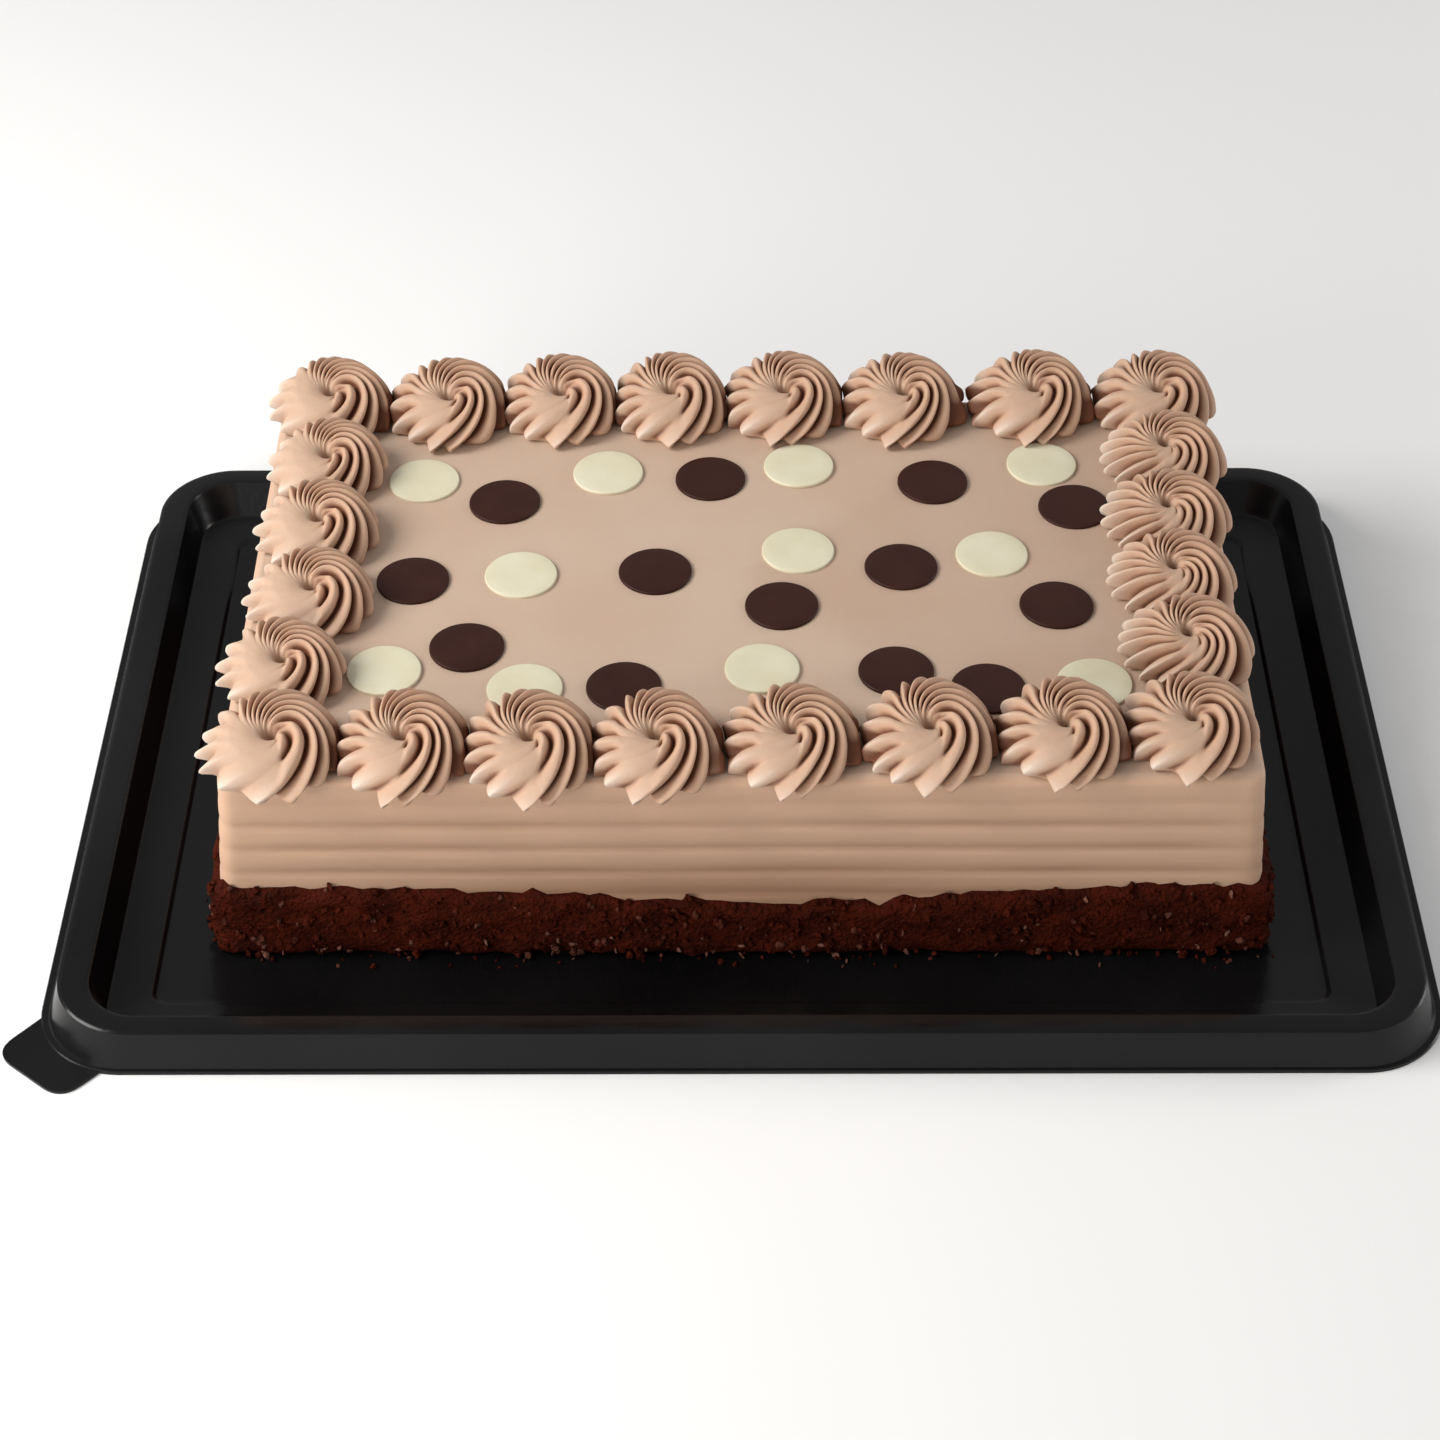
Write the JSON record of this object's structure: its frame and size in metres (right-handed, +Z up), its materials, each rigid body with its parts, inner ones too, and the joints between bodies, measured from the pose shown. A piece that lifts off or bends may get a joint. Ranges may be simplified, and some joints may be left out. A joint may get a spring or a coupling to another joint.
{
  "type": "iced chocolate sheet cake on a tray",
  "caption": "Rectangular chocolate cake with milk chocolate icing, a border of piped rosettes, dark and white chocolate discs and a crumb foot, on a low black tray.",
  "frame": {"origin": "middle of the tray's flat underside, on the table", "axes": "+X along the long side towards the right, -Y towards the front, +Z up"},
  "size_m": [0.3889, 0.2621, 0.0786],
  "materials": {
    "tray": "glossy black moulded plastic",
    "icing": "smooth soft milk chocolate icing",
    "piping": "piped milk chocolate icing, soft sheen",
    "crumbs": "dry dark chocolate crumbs",
    "dark_chocolate": "satin dark chocolate",
    "white_chocolate": "satin white chocolate"
  },
  "bodies": {
    "root": {"tray": "tray", "iced_cake": "icing", "crumb_band": "crumbs", "rosette_01": "piping", "rosette_02": "piping", "rosette_03": "piping", "rosette_04": "piping", "rosette_05": "piping", "rosette_06": "piping", "rosette_07": "piping", "rosette_08": "piping", "rosette_09": "piping", "rosette_10": "piping", "rosette_11": "piping", "rosette_12": "piping", "rosette_13": "piping", "rosette_14": "piping", "rosette_15": "piping", "rosette_16": "piping", "rosette_17": "piping", "rosette_18": "piping", "rosette_19": "piping", "rosette_20": "piping", "rosette_21": "piping", "rosette_22": "piping", "rosette_23": "piping", "rosette_24": "piping", "dark_disc_01": "dark_chocolate", "dark_disc_02": "dark_chocolate", "dark_disc_03": "dark_chocolate", "dark_disc_04": "dark_chocolate", "dark_disc_05": "dark_chocolate", "dark_disc_06": "dark_chocolate", "dark_disc_07": "dark_chocolate", "dark_disc_08": "dark_chocolate", "dark_disc_09": "dark_chocolate", "dark_disc_10": "dark_chocolate", "dark_disc_11": "dark_chocolate", "dark_disc_12": "dark_chocolate", "dark_disc_13": "dark_chocolate", "white_disc_01": "white_chocolate", "white_disc_02": "white_chocolate", "white_disc_03": "white_chocolate", "white_disc_04": "white_chocolate", "white_disc_05": "white_chocolate", "white_disc_06": "white_chocolate", "white_disc_07": "white_chocolate", "white_disc_08": "white_chocolate", "white_disc_09": "white_chocolate", "white_disc_10": "white_chocolate", "white_disc_11": "white_chocolate"}
  },
  "joints": []
}
